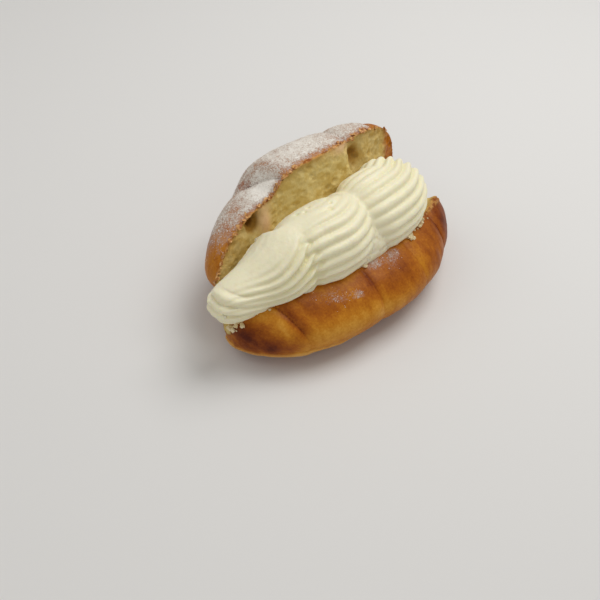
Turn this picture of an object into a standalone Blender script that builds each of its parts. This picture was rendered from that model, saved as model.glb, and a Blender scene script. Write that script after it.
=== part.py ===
"""Cream-filled croissant: a roll slit along its front, its upper half raised, filled with piped cream.

The lower half, the raised upper half and the uncut back are one solid, "croissant".
The filling, three overlapping ropes of cream from a star nozzle on a core of cream, is "cream".
Sizes are in millimetres, and MM turns them into metres where a mesh is made.
X runs along the roll, +Y points to its uncut back and Z is up. The roll lies on z = 0.
"""
from functools import partial

import bmesh
import bpy
import numpy as np
from numpy import abs, arcsin, clip, cos, exp, maximum, pi, radians, sin, sqrt, where

MM = 0.001

# This puts the middle of the whole object's box on the origin.
PLACE = np.array([-9.0, -11.7, 0.0])

# A value written as three numbers is for the left end, the middle and the right end.

# Lower half: an oval section, cut open along a slanting face from the front rim to the back.
BASE_MIDDLE_X = 12.5
BASE_HALF_LENGTH = 71.5
BASE_END_POWERS = (3.4, 2.5)
BASE_Y = (-1.0, 2.0, 5.5)
BASE_Z = (16.0, 16.5, 15.0)
BASE_HALF_WIDTH = (29.0, 40.0, 31.5)
BASE_HALF_HEIGHT = (20.5, 20.0, 17.0)
BASE_RIM_ANGLE = (80.0, 117.0, 112.0)
BASE_BACK_ANGLE = 328.0
# Towards the ends the height shrinks more slowly than the width.
BASE_HEIGHT_POWER = 0.7

# Upper half: the same kind of section, standing on edge along the hinge and leaning back.
LID_MIDDLE_X = 13.5
LID_HALF_LENGTH = 66.5
LID_END_POWERS = (2.8, 4.0)
LID_HINGE_Y = (13.0, 15.5, 27.0)
LID_HINGE_Z = (14.0, 13.0, 14.0)
LID_TILT = (72.0, 79.0, 74.0)
LID_HALF_HEIGHT = (24.0, 29.0, 25.0)
LID_HALF_THICKNESS = (17.0, 31.5, 14.0)
LID_CENTRE_UP = (19.0, 26.0, 23.0)
LID_CENTRE_BACK = (2.0, 9.5, 3.0)
# At the very left end the cut face lies this far in front of the hinge line.
LID_FACE_FRONT = (9.0, 0.0, 0.0)
LID_FACE_POWER = 8.0
# Towards the ends the thickness shrinks more slowly than the height.
LID_THICKNESS_POWER = 0.6
# The wraps left of this place stand lower than the middle one.
LID_STEP_X = -9.0
LID_STEP_WIDTH = 6.0
LID_STEP = 0.13

# Uncut back that joins the halves.
HINGE_MIDDLE_X = 8.0
HINGE_HALF_LENGTH = 57.0
HINGE_END_POWERS = (3.0, 3.0)
HINGE_Y = (15.0, 23.0, 32.0)
HINGE_Z = 14.0
HINGE_RADIUS = (9.0, 14.0, 11.0)
HINGE_FLOOR_GAP = 0.8

# Furrows between the wraps of dough: place at the rim, lean towards the back, and the share of the radius
# that they take at the rim, less towards the back.
BASE_FURROWS = ((-44.0, 26.0, 0.055), (4.0, 4.0, 0.040), (33.0, 10.0, 0.020), (61.0, 4.0, 0.040))
LID_FURROWS = ((-46.0, -20.0, 0.02), (-5.0, -38.0, 0.09), (38.0, 12.0, 0.09), (60.0, 20.0, 0.05))
FURROW_HALF_WIDTH = 3.5
FURROW_SHARPNESS = 1.3

# Torn crumb on the upper half's inner face: a lobe that stands proud, and a hollow beside it.
LOBE_X = (-6.0, 33.0)
LOBE_LEAN = 7.0
LOBE_EDGES = (12.0, 3.0)
LOBE_DEPTH = 3.0
HOLLOW_X = 41.0
HOLLOW_UP = 0.82
HOLLOW_HALF_WIDTH = 5.0
HOLLOW_HALF_HEIGHT = 0.12
HOLLOW_DEPTH = 6.0

# Share of a section's outline that is crust; the rest is the cut face.
CRUST_SHARE = 0.62

# Cream: the middle line of each rope from its head to its tail, its radius there, how blunt its two ends
# are, and the share of a turn by which its ridges swing forwards in the middle.
ROPES = (
    ("right",
     ((57, 12, 42), (50, 8, 41), (41, 3, 40), (26, 1, 40), (12, 2, 38)),
     (16, 18, 19.5, 20, 16),
     (8, 8), 0.0),
    ("middle",
     ((5, 16, 40), (10, 5, 41), (0, -1, 41), (-15, 0, 40), (-32, 2, 36)),
     (14, 17.5, 19.5, 18.5, 14),
     (3, 8), 0.0),
    ("left",
     ((-22, 14, 39), (-17, 6, 41), (-25, 1, 39), (-44, 1, 35), (-66, 3, 31.5)),
     (13, 17, 17.5, 12.5, 8.5),
     (3, 8), 0.09),
)
RIDGES = 22
RIDGE_DEPTH = 0.13
RIDGE_POWER = 0.8
RIDGE_MEAN = 0.6
SWING_PLACE = 0.35
SWING_HALF_LENGTH = 0.4

# Core of cream under the ropes: a front tube up to the lower rim and a back tube down to the hinge.
CORES = (
    ("front", (8.0, 60.0), (3.0, -2.0, 6.0), (29.0, 36.0, 31.0), (10.0, 17.0, 11.0)),
    ("back", (8.0, 58.0), (9.0, 9.0, 20.0), (25.0, 28.0, 27.0), (10.0, 18.0, 11.0)),
)
CORE_END_POWERS = (3.0, 3.0)
CREAM_GAP = 0.45

# Numbers of faces along and round each form.
CRUST_STEPS = 22
CUT_STEPS = 9
HALF_STEPS = 44
HINGE_STEPS = (20, 12)
ROPE_STEPS = (20, 4 * RIDGES)
CORE_STEPS = (16, 20)
# How much closer together the sections are at the ends of a form.
HALF_CROWDING = 0.75
ROPE_CROWDING = 0.8
CORE_CROWDING = 1.0


def along(s, values, power=2.0):
    """A value that changes from the left end (s = -1) through the middle to the right end (s = 1)."""
    left, middle, right = values
    return middle + where(s < 0, left - middle, right - middle) * abs(s) ** power


def rounding(s, powers):
    """1 in the middle of a form and 0 at its ends, blunter with a higher power."""
    power = where(s < 0, powers[0], powers[1])
    return sqrt(clip(1 - abs(s) ** power, 0, 1))


def ramp(value, low, high):
    """0 below low and 1 above high, smooth between them."""
    t = clip((value - low) / (high - low), 0, 1)
    return t * t * (3 - 2 * t)


def furrowed(x, t, furrows):
    """The scale of a section at x, less than 1 in a furrow; t goes round the crust from the rim."""
    scale = 1.0
    for place, lean, depth in furrows:
        distance = abs(x - place - lean * t) / FURROW_HALF_WIDTH
        scale = scale - depth * (1 - t) * exp(-distance ** FURROW_SHARPNESS)
    return scale


def torn(x, t):
    """How far the inner face stands proud of the cut at x and t, from 0 at the hinge to 1 at the rim."""
    inside = sin(pi * clip(t, 0, 1)) ** 0.5
    left, right = LOBE_X[0], LOBE_X[1] + LOBE_LEAN * (1 - t)
    lobe = ramp(x, left, left + LOBE_EDGES[0]) * (1 - ramp(x, right, right + LOBE_EDGES[1]))
    across = (x - HOLLOW_X) / HOLLOW_HALF_WIDTH
    upwards = (t - HOLLOW_UP) / HOLLOW_HALF_HEIGHT
    return inside * (LOBE_DEPTH * lobe - HOLLOW_DEPTH * exp(-across ** 2 - upwards ** 2))


def base_point(s, a):
    """Point of the lower half at s along it and a round it, from the rim over the crust and back."""
    w = rounding(s, BASE_END_POWERS)
    x = BASE_MIDDLE_X + BASE_HALF_LENGTH * s
    width = along(s, BASE_HALF_WIDTH) * w
    height = along(s, BASE_HALF_HEIGHT) * w ** BASE_HEIGHT_POWER
    rim = radians(along(s, BASE_RIM_ANGLE))
    back = radians(BASE_BACK_ANGLE)
    on_crust = a < CRUST_SHARE
    t = where(on_crust, a / CRUST_SHARE, (a - CRUST_SHARE) / (1 - CRUST_SHARE))
    phi = rim + (back - rim) * t
    scale = furrowed(x, t, BASE_FURROWS)
    y = where(on_crust, width * cos(phi) * scale, width * (cos(back) + (cos(rim) - cos(back)) * t))
    z = where(on_crust, height * sin(phi) * scale, height * (sin(back) + (sin(rim) - sin(back)) * t))
    return np.stack([x, along(s, BASE_Y) + y, maximum(along(s, BASE_Z) + z, 0)], -1)


def lid_point(s, a):
    """Point of the upper half at s along it and a round it, from the rim over the crust and back."""
    w = rounding(s, LID_END_POWERS)
    x = LID_MIDDLE_X + LID_HALF_LENGTH * s
    tilt = radians(along(s, LID_TILT))
    low = 1 - LID_STEP * (1 - ramp(x, LID_STEP_X - LID_STEP_WIDTH, LID_STEP_X + LID_STEP_WIDTH))
    height = along(s, LID_HALF_HEIGHT) * w * low
    thickness = along(s, LID_HALF_THICKNESS) * w ** LID_THICKNESS_POWER
    centre_up = along(s, LID_CENTRE_UP) * low
    centre_back = along(s, LID_CENTRE_BACK) * w ** LID_THICKNESS_POWER
    front = along(s, LID_FACE_FRONT, LID_FACE_POWER) * w ** LID_THICKNESS_POWER
    start = -arcsin(clip((centre_back + front) / maximum(thickness, 1e-6), 0, 1))
    on_crust = a < CRUST_SHARE
    t = where(on_crust, a / CRUST_SHARE, (a - CRUST_SHARE) / (1 - CRUST_SHARE))
    phi = start + (pi - 2 * start) * t
    scale = furrowed(x, t, LID_FURROWS)
    up = centre_up + where(on_crust, height * cos(phi) * scale, height * cos(start) * (2 * t - 1))
    face = thickness * sin(start) - torn(x, t) * w
    back = centre_back + where(on_crust, thickness * sin(phi) * scale, face)
    y = along(s, LID_HINGE_Y) + up * cos(tilt) + back * sin(tilt)
    z = along(s, LID_HINGE_Z) + up * sin(tilt) - back * cos(tilt)
    return np.stack([x, y, maximum(z, HINGE_FLOOR_GAP)], -1)


def hinge_point(s, a):
    """Point of the uncut back at s along it and a round it."""
    r = along(s, HINGE_RADIUS) * rounding(s, HINGE_END_POWERS)
    x = HINGE_MIDDLE_X + HINGE_HALF_LENGTH * s
    y = along(s, HINGE_Y) + r * cos(2 * pi * a)
    z = HINGE_Z + r * sin(2 * pi * a)
    return np.stack([x, y, maximum(z, HINGE_FLOOR_GAP)], -1)


def curve(points, t):
    """A smooth curve through the points, at t from 0 to 1."""
    p = np.asarray(points, float)
    if p.ndim == 1:
        p = p[:, None]
    spans = len(p) - 1
    p = np.vstack([2 * p[0] - p[1], p, 2 * p[-1] - p[-2]])
    f = clip(t, 0, 1) * spans
    i = np.minimum(f.astype(int), spans - 1)
    f = (f - i)[..., None]
    a, b, c, d = p[i], p[i + 1], p[i + 2], p[i + 3]
    square = 2 * a - 5 * b + 4 * c - d
    cube = 3 * b - a - 3 * c + d
    return 0.5 * (2 * b + (c - a) * f + square * f ** 2 + cube * f ** 3)


def rope_point(s, a, path, radii, ends, swing):
    """Point of a ridged rope whose middle line is the path, at s along it and a round it."""
    t = (s + 1) / 2
    step = 0.001
    ahead = curve(path, np.minimum(t + step, 1)) - curve(path, maximum(t - step, 0))
    ahead /= np.linalg.norm(ahead, axis=-1, keepdims=True)
    side = np.cross(ahead, np.array([0.0, 0.0, 1.0]))
    side /= np.linalg.norm(side, axis=-1, keepdims=True)
    over = np.cross(side, ahead)
    angle = 2 * pi * (a + swing * exp(-((s - SWING_PLACE) / SWING_HALF_LENGTH) ** 2))
    ridge = 1 + RIDGE_DEPTH * (abs(cos(RIDGES * pi * a)) ** RIDGE_POWER - RIDGE_MEAN)
    r = curve(radii, t)[..., 0] * rounding(s, ends) * ridge
    return curve(path, t) + (r * cos(angle))[..., None] * side + (r * sin(angle))[..., None] * over


def core_point(s, a, span, y_values, z_values, radii):
    """Point of a smooth tube of cream at s along it and a round it."""
    middle, half = span
    r = along(s, radii) * rounding(s, CORE_END_POWERS)
    y = along(s, y_values) + r * cos(2 * pi * a)
    z = along(s, z_values) + r * sin(2 * pi * a)
    return np.stack([middle + half * s, y, z], -1)


def spread(steps, ends):
    """Places from -1 to 1, closer together at the ends by the share that is given."""
    even = np.linspace(-1, 1, steps + 1)
    return (1 - ends) * even + ends * sin(pi / 2 * even)


def half_outline():
    """Places round a half's section, with one exactly at the rim and one where the crust ends."""
    crust = np.linspace(0, CRUST_SHARE, CRUST_STEPS, endpoint=False)
    cut = np.linspace(CRUST_SHARE, 1, CUT_STEPS, endpoint=False)
    return np.concatenate([crust, cut])


def ring_outline(steps):
    return np.linspace(0, 1, steps, endpoint=False)


def loft(name, function, places, outline):
    """A closed mesh through the sections at the places, with a pole at either end."""
    s, a = np.meshgrid(places[1:-1], outline, indexing="ij")
    rings = function(s, a)
    poles = [function(np.array([end]), np.array([0.0]))[0] for end in (places[0], places[-1])]
    bm = bmesh.new()
    verts = [[bm.verts.new((p + PLACE) * MM) for p in ring] for ring in rings]
    first, last = (bm.verts.new((p + PLACE) * MM) for p in poles)
    count = len(outline)
    for j in range(count):
        k = (j + 1) % count
        bm.faces.new((first, verts[0][k], verts[0][j]))
        bm.faces.new((last, verts[-1][j], verts[-1][k]))
        for i in range(len(verts) - 1):
            bm.faces.new((verts[i][j], verts[i][k], verts[i + 1][k], verts[i + 1][j]))
    bmesh.ops.recalc_face_normals(bm, faces=bm.faces)
    mesh = bpy.data.meshes.new(name)
    bm.to_mesh(mesh)
    bm.free()
    obj = bpy.data.objects.new(name, mesh)
    bpy.context.collection.objects.link(obj)
    return obj


def grown(obj, gap):
    """Moves every point of the object outwards along its normal."""
    bm = bmesh.new()
    bm.from_mesh(obj.data)
    bm.normal_update()
    for vert, normal in [(v, v.normal.copy()) for v in bm.verts]:
        vert.co += normal * gap * MM
    bm.to_mesh(obj.data)
    bm.free()
    return obj


def combine(obj, others, operation, solver="EXACT"):
    """Adds or cuts the others, one by one, and removes them."""
    for other in others:
        step = obj.modifiers.new(operation, "BOOLEAN")
        step.operation = operation
        step.solver = solver
        step.object = other
    depsgraph = bpy.context.evaluated_depsgraph_get()
    mesh = bpy.data.meshes.new_from_object(obj.evaluated_get(depsgraph))
    obj.modifiers.clear()
    obj.data = mesh
    for other in others:
        bpy.data.objects.remove(other)
    return obj


def keep_largest_part(obj):
    """Deletes loose scraps that a cut left."""
    bm = bmesh.new()
    bm.from_mesh(obj.data)
    unseen = set(bm.verts)
    parts = []
    while unseen:
        part = set()
        todo = [unseen.pop()]
        while todo:
            vert = todo.pop()
            part.add(vert)
            near = [edge.other_vert(vert) for edge in vert.link_edges]
            fresh = [other for other in near if other in unseen]
            unseen.difference_update(fresh)
            todo.extend(fresh)
        parts.append(part)
    parts.sort(key=len)
    bmesh.ops.delete(bm, geom=[v for part in parts[:-1] for v in part], context="VERTS")
    bm.to_mesh(obj.data)
    bm.free()


def bread_parts(suffix):
    """The two halves and the uncut back, as separate overlapping forms."""
    places = spread(HALF_STEPS, HALF_CROWDING)
    base = loft("base" + suffix, base_point, places, half_outline())
    lid = loft("lid" + suffix, lid_point, places, half_outline())
    places = spread(HINGE_STEPS[0], CORE_CROWDING)
    hinge = loft("hinge" + suffix, hinge_point, places, ring_outline(HINGE_STEPS[1]))
    return base, lid, hinge


def make_bread():
    base, lid, hinge = bread_parts("")
    bread = combine(base, (lid, hinge), "UNION")
    bread.name = "croissant"
    return bread


def make_cream():
    pieces = []
    for name, path, radii, ends, swing in ROPES:
        surface = partial(rope_point, path=path, radii=radii, ends=ends, swing=swing)
        places = spread(ROPE_STEPS[0], ROPE_CROWDING)
        pieces.append(loft(name, surface, places, ring_outline(ROPE_STEPS[1])))
    for name, span, ys, zs, radii in CORES:
        surface = partial(core_point, span=span, y_values=ys, z_values=zs, radii=radii)
        places = spread(CORE_STEPS[0], CORE_CROWDING)
        pieces.append(loft(name, surface, places, ring_outline(CORE_STEPS[1])))
    # A rope crosses itself inside its tight bend, which the exact solver can't join.
    cream = combine(pieces[0], pieces[1:], "UNION", solver="MANIFOLD")
    room = [grown(part, CREAM_GAP) for part in bread_parts("_room")]
    combine(cream, room, "DIFFERENCE", solver="MANIFOLD")
    keep_largest_part(cream)
    cream.name = "cream"
    return cream


def finish(obj, name, colour, roughness):
    """Gives the object its material and smooth shading."""
    material = bpy.data.materials.new(name)
    material.use_nodes = True
    shader = material.node_tree.nodes["Principled BSDF"]
    shader.inputs["Base Color"].default_value = (*colour, 1.0)
    shader.inputs["Roughness"].default_value = roughness
    shader.inputs["Metallic"].default_value = 0.0
    obj.data.materials.clear()
    obj.data.materials.append(material)
    obj.data.shade_smooth()
    obj.data.set_sharp_from_angle(angle=radians(50))


def main():
    for obj in list(bpy.data.objects):
        bpy.data.objects.remove(obj)
    finish(make_bread(), "baked_crust", (0.50, 0.20, 0.05), 0.45)
    finish(make_cream(), "whipped_cream", (0.86, 0.82, 0.62), 0.55)


main()
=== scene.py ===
"""Cream-filled croissant: baked crust, torn crumb, piped cream, dusted sugar and loose bits.

The forms repeat the solids' own functions and sizes, in millimetres, with finer faces and relief on top.
X runs along the roll, +Y points to its uncut back and Z is up.
"""
from functools import partial
from itertools import product
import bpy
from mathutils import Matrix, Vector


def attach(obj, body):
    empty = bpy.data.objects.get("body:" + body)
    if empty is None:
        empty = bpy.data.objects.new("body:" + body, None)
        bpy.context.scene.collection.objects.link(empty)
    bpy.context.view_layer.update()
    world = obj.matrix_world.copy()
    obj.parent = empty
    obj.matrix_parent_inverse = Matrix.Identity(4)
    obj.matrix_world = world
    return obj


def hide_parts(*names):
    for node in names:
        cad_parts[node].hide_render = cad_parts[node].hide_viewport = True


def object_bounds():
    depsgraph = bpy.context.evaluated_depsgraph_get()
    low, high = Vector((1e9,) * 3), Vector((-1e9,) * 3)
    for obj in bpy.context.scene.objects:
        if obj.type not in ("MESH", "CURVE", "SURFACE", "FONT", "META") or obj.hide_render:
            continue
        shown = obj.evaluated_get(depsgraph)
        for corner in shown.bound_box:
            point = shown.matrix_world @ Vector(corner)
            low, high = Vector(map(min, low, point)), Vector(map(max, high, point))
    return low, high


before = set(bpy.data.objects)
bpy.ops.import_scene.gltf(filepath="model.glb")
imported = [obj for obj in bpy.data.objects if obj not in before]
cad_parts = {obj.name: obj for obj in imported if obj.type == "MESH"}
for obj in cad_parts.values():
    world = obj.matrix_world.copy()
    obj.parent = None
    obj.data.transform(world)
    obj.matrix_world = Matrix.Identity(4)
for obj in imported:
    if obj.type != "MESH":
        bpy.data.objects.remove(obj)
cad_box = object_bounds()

from types import SimpleNamespace

import bmesh
import bpy
import numpy as np
from mathutils import Matrix, Vector
from mathutils.kdtree import KDTree
from numpy import abs, arcsin, clip, cos, exp, maximum, minimum, pi, radians, sin, sqrt, where

MM = 0.001
BOX = np.array([list(corner) for corner in cad_box])
# Where the zero point of the sizes below lies in the part's frame.
PLACE = np.array([-9.0, -11.7, 0.0])

# A value written as three numbers is for the left end, the middle and the right end.

# Lower half: an oval section, cut open along a slanting face from the front rim to the back.
BASE_MIDDLE_X = 12.5
BASE_HALF_LENGTH = 71.5
BASE_END_POWERS = (3.4, 2.5)
BASE_Y = (-1.0, 2.0, 5.5)
BASE_Z = (16.0, 16.5, 15.0)
BASE_HALF_WIDTH = (29.0, 40.0, 31.5)
BASE_HALF_HEIGHT = (20.5, 20.0, 17.0)
BASE_RIM_ANGLE = (80.0, 117.0, 112.0)
BASE_BACK_ANGLE = 328.0
BASE_HEIGHT_POWER = 0.7

# Upper half: the same kind of section, standing on edge along the hinge and leaning back.
LID_MIDDLE_X = 13.5
LID_HALF_LENGTH = 66.5
LID_END_POWERS = (2.8, 4.0)
LID_HINGE_Y = (13.0, 15.5, 27.0)
LID_HINGE_Z = (14.0, 13.0, 14.0)
LID_TILT = (72.0, 79.0, 74.0)
LID_HALF_HEIGHT = (24.0, 29.0, 25.0)
LID_HALF_THICKNESS = (17.0, 31.5, 14.0)
LID_CENTRE_UP = (19.0, 26.0, 23.0)
LID_CENTRE_BACK = (2.0, 9.5, 3.0)
# At the very left end the cut face lies this far in front of the hinge line.
LID_FACE_FRONT = (9.0, 0.0, 0.0)
LID_FACE_POWER = 8.0
LID_THICKNESS_POWER = 0.6
LID_STEP_X = -9.0
LID_STEP_WIDTH = 6.0
LID_STEP = 0.13

# Uncut back that joins the halves.
HINGE_MIDDLE_X = 8.0
HINGE_HALF_LENGTH = 57.0
HINGE_END_POWERS = (3.0, 3.0)
HINGE_Y = (15.0, 23.0, 32.0)
HINGE_Z = 14.0
HINGE_RADIUS = (9.0, 14.0, 11.0)
HINGE_FLOOR_GAP = 0.8

# Furrows between the wraps of dough: place at the rim, lean towards the back, and the share of the radius
# that they take at the rim, less towards the back.
BASE_FURROWS = ((-44.0, 26.0, 0.055), (4.0, 4.0, 0.040), (33.0, 10.0, 0.020), (61.0, 4.0, 0.040))
LID_FURROWS = ((-46.0, -20.0, 0.02), (-5.0, -38.0, 0.09), (38.0, 12.0, 0.09), (60.0, 20.0, 0.05))
FURROW_HALF_WIDTH = 3.5
FURROW_SHARPNESS = 1.3

# Torn crumb on the upper half's inner face: a lobe that stands proud, and a hollow beside it.
LOBE_X = (-6.0, 33.0)
LOBE_LEAN = 7.0
LOBE_EDGES = (12.0, 3.0)
LOBE_DEPTH = 3.0
HOLLOW_X = 41.0
HOLLOW_UP = 0.82
HOLLOW_HALF_WIDTH = 5.0
HOLLOW_HALF_HEIGHT = 0.12
HOLLOW_DEPTH = 6.0
TORN_FADE_POWER = 0.5

# Share of a section's outline that is crust; the rest is the cut face.
CRUST_SHARE = 0.62

# Cream: each rope's middle line and radius from head to tail, how blunt its ends are, the share of a turn by
# which its ridges swing forwards, the stretch round it in which they fade in, their strength at the head, the
# middle and the tail, and how far they outrun the grooves at the head.
RIGHT_ROPE = {
    "path": ((57, 12, 42), (50, 8, 41), (41, 3, 40), (26, 1, 40), (12, 2, 38)),
    "radii": (16, 18, 19.5, 20, 16), "ends": (8, 8), "swing": 0.0,
    "fade": (0.04, 0.30), "strengths": (1.5, 0.75, 0.40), "teeth": 0.18,
}
MIDDLE_ROPE = {
    "path": ((5, 16, 40), (10, 5, 41), (0, -1, 41), (-15, 0, 40), (-32, 2, 36)),
    "radii": (14, 17.5, 19.5, 18.5, 14), "ends": (3, 8), "swing": 0.0,
    "fade": (0.12, 0.38), "strengths": (0.2, 0.65, 0.85), "teeth": 0.0,
}
LEFT_ROPE = {
    "path": ((-22, 14, 39), (-17, 6, 41), (-25, 1, 39), (-44, 1, 35), (-66, 3, 31.5)),
    "radii": (13, 17, 17.5, 12.5, 8.5), "ends": (3, 14), "swing": 0.09,
    "fade": (0.29, 0.41), "strengths": (0.0, 1.55, 0.55), "teeth": 0.0,
}
ROPES = (RIGHT_ROPE, MIDDLE_ROPE, LEFT_ROPE)
RIGHT, MIDDLE, LEFT = range(3)

# Ridges: number, depth as a share of the radius, form and its mean, least strength, and where they swing.
RIDGES = 22
RIDGE_DEPTH = 0.13
RIDGE_POWER = 0.8
RIDGE_MEAN = 0.6
RIDGE_LEAST = 0.12
SWING_PLACE = 0.35
SWING_HALF_LENGTH = 0.4

# Two tubes of cream that fill the wedge between the halves.
UPPER_CORE = {
    "middle": 8.0, "half_length": 60.0,
    "y": (3.0, -2.0, 6.0), "z": (29.0, 36.0, 31.0), "radius": (10.0, 17.0, 11.0),
}
LOWER_CORE = {
    "middle": 8.0, "half_length": 58.0,
    "y": (9.0, 9.0, 20.0), "z": (25.0, 28.0, 27.0), "radius": (10.0, 18.0, 11.0),
}
CORES = (UPPER_CORE, LOWER_CORE)
CORE_END_POWERS = (3.0, 3.0)

# Fineness of the meshes: faces along and round each form, and the side of a face once they are fused.
HALF_STEPS = (260, 330)
HINGE_STEPS = (110, 90)
ROPE_STEPS = (240, 16 * RIDGES)
CORE_STEPS = (120, 120)
BREAD_FACE = 0.5
CREAM_FACE = 0.4

# Browning of the crust: place along the roll, place round the crust from the rim, the half-widths of
# the patch in both directions and how much darker it is there, or lighter below 0.
BASE_BROWNING = (
    (-47.0, 0.12, 6.0, 0.06, -0.16),
    (-44.0, 0.26, 1.4, 0.11, -0.16),
    (-39.0, 0.15, 3.0, 0.07, 0.30),
    (-36.5, 0.25, 3.0, 0.06, 0.28),
    (-27.0, 0.13, 9.0, 0.07, 0.16),
    (-27.0, 0.30, 22.0, 0.08, -0.22),
    (-3.0, 0.02, 9.0, 0.03, -0.18),
    (3.0, 0.09, 3.5, 0.07, 0.24),
    (5.0, 0.26, 24.0, 0.07, -0.20),
    (20.0, 0.11, 11.0, 0.08, 0.20),
    (36.0, 0.16, 3.0, 0.12, -0.14),
    (50.0, 0.10, 9.0, 0.20, 0.12),
    (72.0, 0.12, 13.0, 0.30, 0.40),
)
# Dark round patches at the left end: the middle of each, its radius and its strength.
DARK_CAP = (
    (-60.0, -3.0, 15.0, 11.0, 0.26),
    (-54.0, -13.0, 16.0, 10.0, 0.40),
    (-46.0, -22.0, 14.0, 8.0, 0.34),
)
LID_BROWNING = (
    (-50.0, 0.14, 10.0, 0.25, -0.10),
    (-12.0, 0.24, 2.0, 0.10, 0.20),
    (74.0, 0.05, 9.0, 0.20, 0.16),
)
BROWNING_LEVEL = 0.42

# Dusted sugar, given in the same way, and its level on the upper half.
LID_SUGAR_LEVEL = 0.60
LID_SUGAR_LEFT = (-56.0, -32.0)
LID_SUGAR_RIGHT = (56.0, 66.0)
LID_SUGAR_BACK = (0.42, 0.80)
LID_SUGAR = (
    (-13.0, 0.07, 8.0, 0.09, 0.45),
    (-5.0, 0.08, 3.5, 0.11, -0.26),
    (-26.0, 0.12, 6.0, 0.09, -0.14),
    (-37.0, 0.08, 5.0, 0.10, -0.20),
    (-12.0, 0.24, 1.8, 0.08, -0.30),
    (16.0, 0.12, 16.0, 0.10, 0.18),
)
BASE_SUGAR = (
    (11.0, 0.03, 5.0, 0.025, 0.44),
    (23.0, 0.04, 4.0, 0.020, 0.36),
    (-6.0, 0.12, 3.0, 0.020, 0.30),
    (-16.0, 0.10, 9.0, 0.050, 0.17),
    (-29.0, 0.08, 6.0, 0.030, 0.10),
    (20.0, 0.08, 9.0, 0.050, 0.13),
)

# Camera: where the photograph was taken from, with the lens's field of view.
CAMERA_PLACE = (-240.3, -227.6, 311.0)
CAMERA_AZIMUTH = -45.0
CAMERA_ELEVATION = 44.63
CAMERA_ROLL = -4.16
CAMERA_VIEW = 37.075
CAMERA_NEAR = 0.01


# Shape functions

def along(s, values, power=2.0):
    """A value that changes from the left end (s = -1) through the middle to the right end (s = 1)."""
    left, middle, right = values
    return middle + where(s < 0, left - middle, right - middle) * abs(s) ** power


def rounding(s, powers):
    """1 in the middle of a form and 0 at its ends, blunter with a higher power."""
    power = where(s < 0, powers[0], powers[1])
    return sqrt(clip(1 - abs(s) ** power, 0, 1))


def ramp(value, low, high):
    """0 below low and 1 above high, smooth between them."""
    t = clip((value - low) / (high - low), 0, 1)
    return t * t * (3 - 2 * t)

def unit(vectors):
    """The vectors, each brought to length 1."""
    return vectors / np.linalg.norm(vectors, axis=-1, keepdims=True)


def bell(value, middle, half_width):
    """1 at the middle and falling smoothly to 0 on both sides of it."""
    return exp(-((value - middle) / half_width) ** 2)


def furrowed(x, t, furrows):
    """The scale of a section at x, less than 1 in a furrow; t goes round the crust from the rim."""
    scale = 1.0
    for place, lean, depth in furrows:
        distance = abs(x - place - lean * t) / FURROW_HALF_WIDTH
        scale = scale - depth * (1 - t) * exp(-distance ** FURROW_SHARPNESS)
    return scale


def torn(x, t):
    """How far the inner face stands proud of the cut at x and t, from 0 at the hinge to 1 at the rim."""
    inside = sin(pi * clip(t, 0, 1)) ** TORN_FADE_POWER
    left, right = LOBE_X[0], LOBE_X[1] + LOBE_LEAN * (1 - t)
    lobe = ramp(x, left, left + LOBE_EDGES[0]) * (1 - ramp(x, right, right + LOBE_EDGES[1]))
    across = (x - HOLLOW_X) / HOLLOW_HALF_WIDTH
    upwards = (t - HOLLOW_UP) / HOLLOW_HALF_HEIGHT
    return inside * (LOBE_DEPTH * lobe - HOLLOW_DEPTH * exp(-across ** 2 - upwards ** 2))


def crust_or_cut(a):
    """Whether a is on the crust, and the place from 0 to 1 on the crust or on the cut face."""
    on_crust = a < CRUST_SHARE
    return on_crust, where(on_crust, a / CRUST_SHARE, (a - CRUST_SHARE) / (1 - CRUST_SHARE))


def base_point(s, a):
    """Point of the lower half at s along it and a round it, from the rim over the crust and back."""
    w = rounding(s, BASE_END_POWERS)
    x = BASE_MIDDLE_X + BASE_HALF_LENGTH * s
    width = along(s, BASE_HALF_WIDTH) * w
    height = along(s, BASE_HALF_HEIGHT) * w ** BASE_HEIGHT_POWER
    rim = radians(along(s, BASE_RIM_ANGLE))
    back = radians(BASE_BACK_ANGLE)
    on_crust, t = crust_or_cut(a)
    phi = rim + (back - rim) * t
    scale = furrowed(x, t, BASE_FURROWS)
    y = where(on_crust, width * cos(phi) * scale, width * (cos(back) + (cos(rim) - cos(back)) * t))
    z = where(on_crust, height * sin(phi) * scale, height * (sin(back) + (sin(rim) - sin(back)) * t))
    return np.stack([x, along(s, BASE_Y) + y, maximum(along(s, BASE_Z) + z, 0)], -1)


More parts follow.
